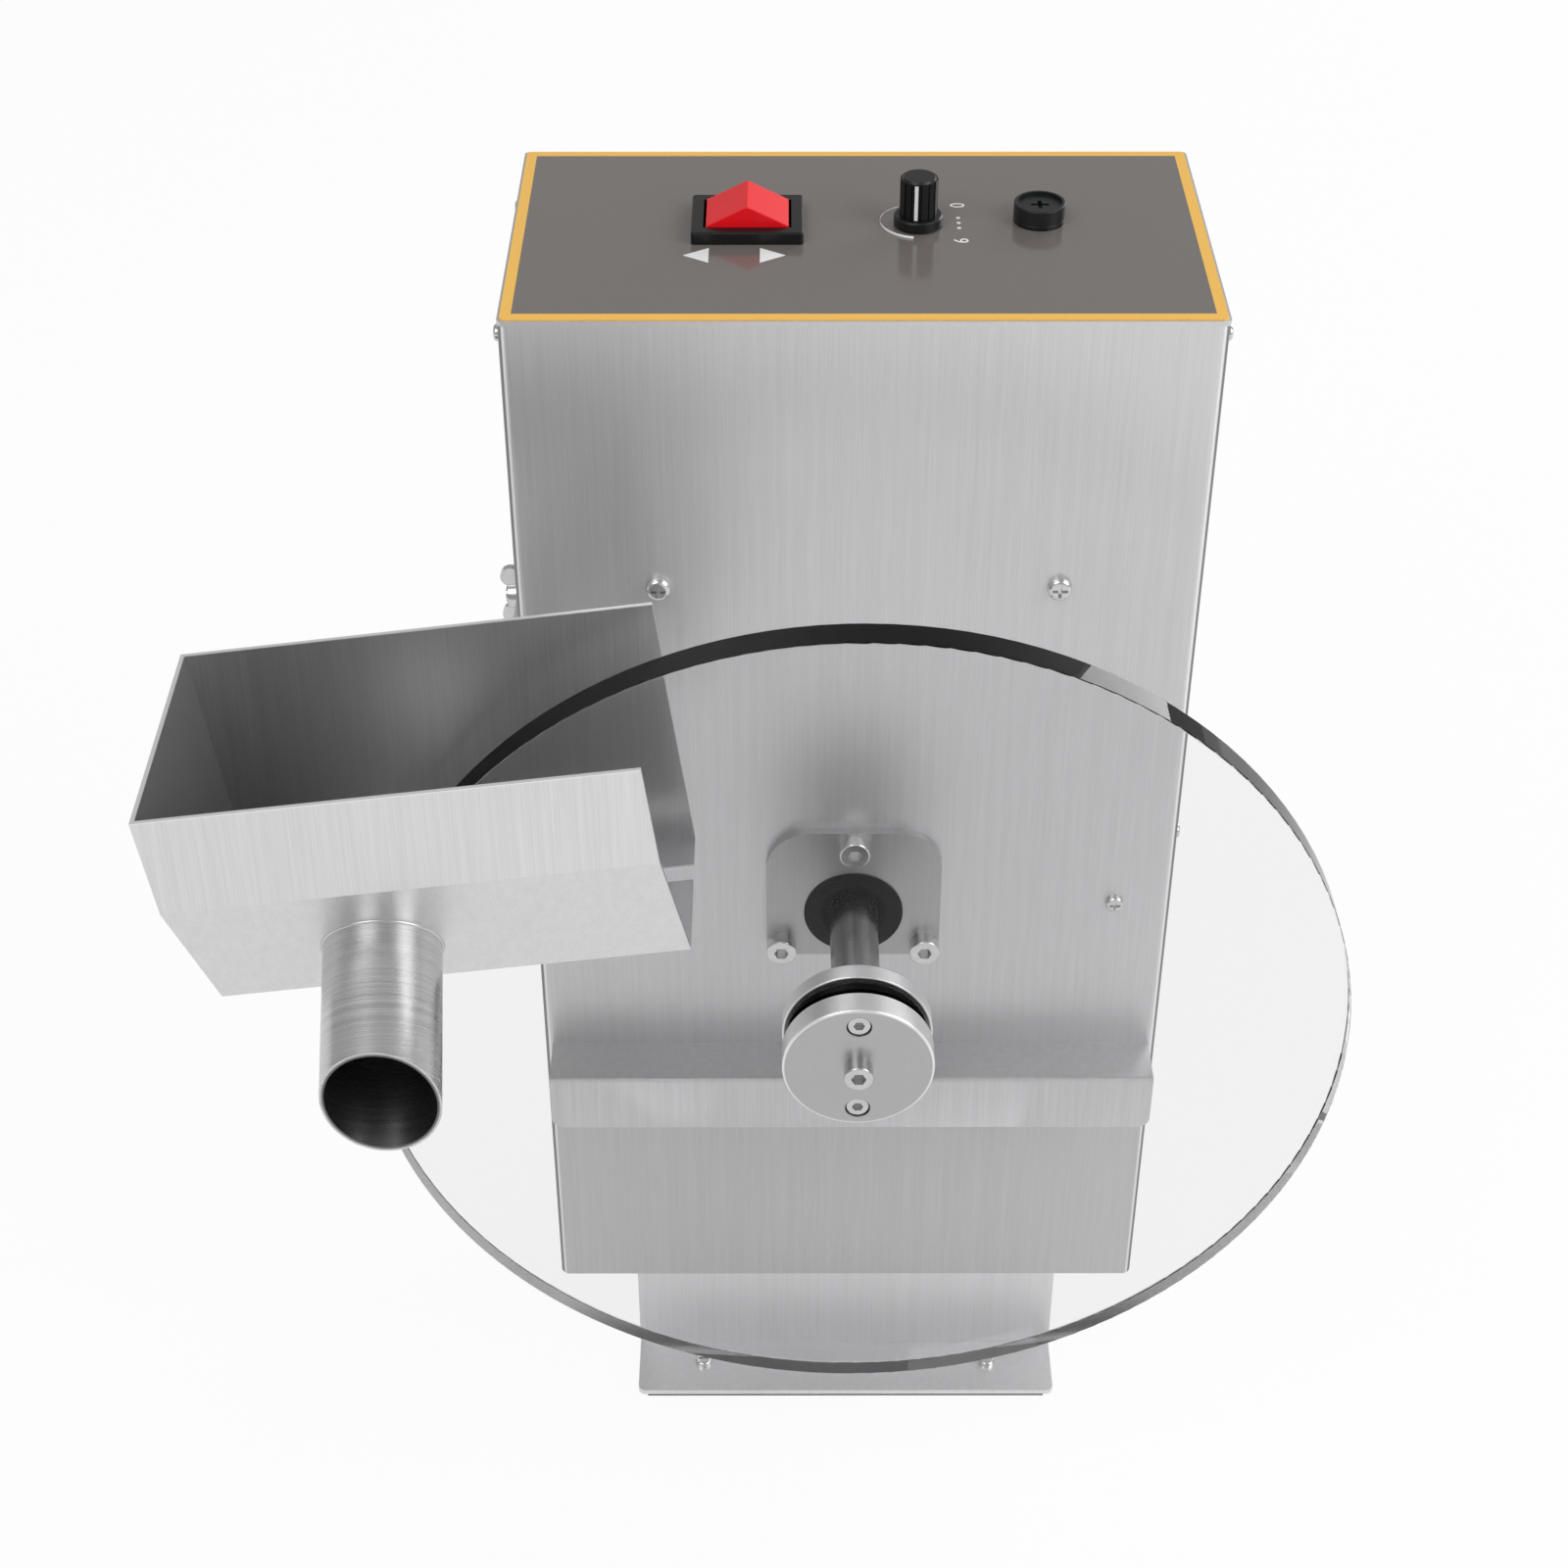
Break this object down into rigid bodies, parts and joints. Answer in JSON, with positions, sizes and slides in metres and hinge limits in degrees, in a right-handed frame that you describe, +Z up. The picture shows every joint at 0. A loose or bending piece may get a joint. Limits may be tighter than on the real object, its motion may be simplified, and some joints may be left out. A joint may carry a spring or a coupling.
{
  "type": "chocolate tempering machine",
  "caption": "Bench chocolate wheel mixer: steel drive casing with lid controls, clear wheel on a clamped shaft, scraper hopper with a spout, tank hook and bench feet.",
  "frame": {"origin": "on the bench, on the centre plane, in the plane of the casing's front panel", "axes": "+X to the operator's right, +Y from the wheel to the rear cover, +Z up"},
  "size_m": [0.3327, 0.2844, 0.4264],
  "materials": {
    "brushed_steel": "fine vertical brushing on stainless sheet",
    "bright_steel": "bright machined stainless steel",
    "cast_aluminium": "satin casting",
    "laminated_steel": "varnished laminations",
    "bronze": "machined bronze",
    "brass": "bright contacts",
    "rubber": "matt black rubber",
    "clear_acrylic": "clear polished acrylic",
    "overlay_print": "glossy dark brown print with a yellow border",
    "black_plastic": "black moulding",
    "red_plastic": "red moulding",
    "white_plastic": "white insert",
    "circuit_board": "green laminate",
    "green_plastic": "moulded terminals",
    "fuse_glass": "glass tube with metal ends"
  },
  "bodies": {
    "base": {"bearing_flange": "brushed_steel", "bearing_housing": "cast_aluminium", "board_bracket": "bright_steel", "bottom_plate": "brushed_steel", "capacitor": "black_plastic", "casing": "brushed_steel", "control_overlay": "overlay_print", "cover_screws": "bright_steel", "flange_screws": "bright_steel", "foot_bolts": "bright_steel", "foot_screws": "bright_steel", "foot_strips": "rubber", "front_bearing": "bright_steel", "front_foot": "brushed_steel", "fuse_holder": "black_plastic", "gearbox_bearings": "bright_steel", "gearbox_cover": "cast_aluminium", "gearbox_housing": "cast_aluminium", "heat_sink": "cast_aluminium", "inlet_pins": "brass", "lid": "brushed_steel", "motor_can": "cast_aluminium", "motor_cap": "cast_aluminium", "motor_stator": "laminated_steel", "mount_plate": "bright_steel", "panel_screws": "bright_steel", "power_inlet": "black_plastic", "rear_cover": "brushed_steel", "rear_foot": "brushed_steel", "rim_hook": "brushed_steel", "shaft_seal": "rubber", "side_screws": "bright_steel", "small_screws": "bright_steel", "speed_board": "circuit_board", "speed_pot": "black_plastic", "switch_body": "black_plastic", "terminal_block": "green_plastic", "wing_stud": "bright_steel"},
    "wheel": {"drive_shaft": "bright_steel", "rear_collar": "bright_steel", "gaskets": "rubber", "wheel_disc": "clear_acrylic", "front_clamp": "bright_steel", "centre_bolt": "bright_steel", "clamp_screws": "bright_steel", "worm_wheel": "bronze", "shaft_key": "bright_steel"},
    "rotor": {"worm_shaft": "bright_steel", "motor_rotor": "laminated_steel"},
    "rocker": {"rocker": "red_plastic"},
    "knob": {"speed_knob": "black_plastic", "knob_pointer": "white_plastic", "pot_spindle": "bright_steel"},
    "fuse_link": {"fuse": "fuse_glass"},
    "fuse_cap": {"fuse_cap": "black_plastic"},
    "hopper": {"hopper": "brushed_steel", "spout": "brushed_steel", "hopper_arm": "brushed_steel", "arm_rivets": "bright_steel"},
    "wing_nut": {"wing_nut": "bright_steel"}
  },
  "joints": [
    {"name": "wheel_spin", "type": "hinge", "parent": "base", "child": "wheel", "pos_m": [0, -0.065, 0.2083], "axis": [0, 1, 0], "continuous": true},
    {"name": "rotor_spin", "type": "hinge", "parent": "base", "child": "rotor", "pos_m": [0.031, 0.052, 0.3], "axis": [0, 0, 1], "continuous": true},
    {"name": "rocker_tilt", "type": "hinge", "parent": "base", "child": "rocker", "pos_m": [-0.0322, 0.0582, 0.4111], "axis": [0, 1, 0], "range_deg": [-10, 10]},
    {"name": "speed_turn", "type": "hinge", "parent": "base", "child": "knob", "pos_m": [0.0169, 0.0586, 0.412], "axis": [0, 0, -1], "range_deg": [0, 270]},
    {"name": "fuse_lift", "type": "slide", "parent": "base", "child": "fuse_link", "axis": [0, 0, 1], "range_m": [0, 0.03]},
    {"name": "fuse_cap_turn", "type": "hinge", "parent": "fuse_link", "child": "fuse_cap", "pos_m": [0.052, 0.0614, 0.415], "axis": [0, 0, -1], "range_deg": [0, 45]},
    {"name": "hopper_slide", "type": "slide", "parent": "base", "child": "hopper", "axis": [0, 0, 1], "range_m": [-0.006, 0.01]},
    {"name": "wing_nut_turn", "type": "hinge", "parent": "base", "child": "wing_nut", "pos_m": [-0.105, 0.044, 0.294], "axis": [-1, 0, 0], "range_deg": [0, 360]}
  ],
  "couplings": [
    {"joint": "rotor_spin", "follows": "wheel_spin", "ratio": 30}
  ]
}
